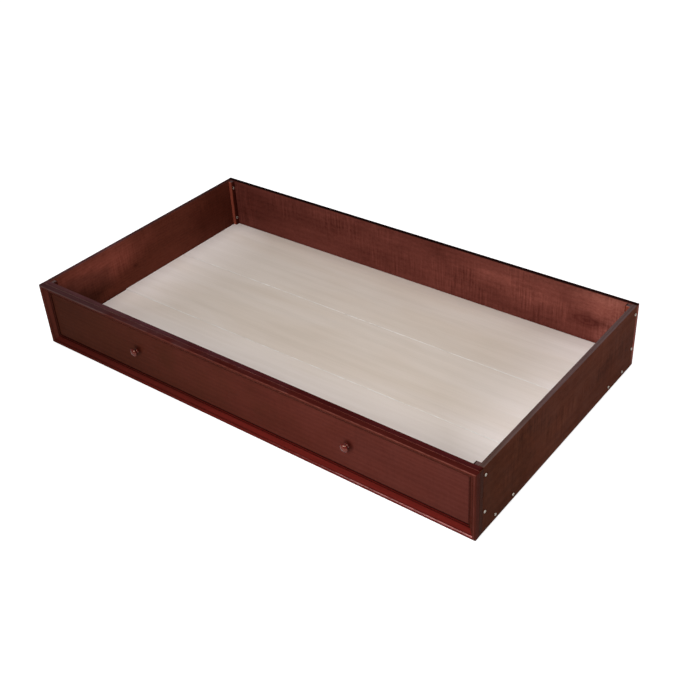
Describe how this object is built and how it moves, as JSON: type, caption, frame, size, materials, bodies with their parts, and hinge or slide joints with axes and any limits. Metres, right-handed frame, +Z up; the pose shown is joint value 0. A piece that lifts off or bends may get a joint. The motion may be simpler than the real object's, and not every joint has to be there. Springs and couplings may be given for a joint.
{
  "type": "trundle bed",
  "caption": "Low mattress box on hidden rollers, with a mitred moulding frame and turned knobs on its long front, bolted ends and a pale board floor.",
  "frame": {"origin": "on the ground under the middle of the whole object, knobs and bolt heads included", "axes": "+X along the bed to the right seen from the front, +Y from the front to the back, +Z up"},
  "size_m": [1.956, 1.091, 0.273],
  "materials": {
    "stained_wood": "dark red-brown stain under satin lacquer",
    "pale_floor": "thin pale wash, matt",
    "plain_timber": "planed, unfinished",
    "roller_plastic": "moulded",
    "bright_steel": "zinc plated"
  },
  "bodies": {
    "frame": {"back_ledger": "plain_timber", "back_left_axle_pin": "bright_steel", "back_left_corner_block": "stained_wood", "back_left_roller_block": "plain_timber", "back_panel": "stained_wood", "back_right_axle_pin": "bright_steel", "back_right_corner_block": "stained_wood", "back_right_roller_block": "plain_timber", "corner_block_screws": "bright_steel", "corner_bolts": "bright_steel", "corner_sleeve_nuts": "bright_steel", "deck_board_1": "pale_floor", "deck_board_2": "pale_floor", "deck_board_3": "pale_floor", "deck_slat_1": "plain_timber", "deck_slat_2": "plain_timber", "deck_slat_3": "plain_timber", "deck_slat_4": "plain_timber", "deck_slat_5": "plain_timber", "front_board": "stained_wood", "front_bottom_moulding": "stained_wood", "front_ledger": "plain_timber", "front_left_axle_pin": "bright_steel", "front_left_corner_block": "stained_wood", "front_left_moulding": "stained_wood", "front_left_roller_block": "plain_timber", "front_right_axle_pin": "bright_steel", "front_right_corner_block": "stained_wood", "front_right_moulding": "stained_wood", "front_right_roller_block": "plain_timber", "front_top_moulding": "stained_wood", "knob_screws": "bright_steel", "left_end_ledger": "plain_timber", "left_end_panel": "stained_wood", "left_knob": "stained_wood", "right_end_ledger": "plain_timber", "right_end_panel": "stained_wood", "right_knob": "stained_wood", "roller_bolts": "bright_steel", "roller_nuts": "bright_steel"},
    "back_left_wheel": {"back_left_roller": "roller_plastic"},
    "back_right_wheel": {"back_right_roller": "roller_plastic"},
    "front_left_wheel": {"front_left_roller": "roller_plastic"},
    "front_right_wheel": {"front_right_roller": "roller_plastic"}
  },
  "joints": [
    {"name": "back_left_wheel_turn", "type": "hinge", "parent": "frame", "child": "back_left_wheel", "pos_m": [-0.936, 0.4005, 0.023], "axis": [1, 0, 0], "continuous": true},
    {"name": "back_right_wheel_turn", "type": "hinge", "parent": "frame", "child": "back_right_wheel", "pos_m": [0.936, 0.4005, 0.023], "axis": [1, 0, 0], "continuous": true},
    {"name": "front_left_wheel_turn", "type": "hinge", "parent": "frame", "child": "front_left_wheel", "pos_m": [-0.936, -0.3715, 0.023], "axis": [1, 0, 0], "continuous": true},
    {"name": "front_right_wheel_turn", "type": "hinge", "parent": "frame", "child": "front_right_wheel", "pos_m": [0.936, -0.3715, 0.023], "axis": [1, 0, 0], "continuous": true}
  ]
}
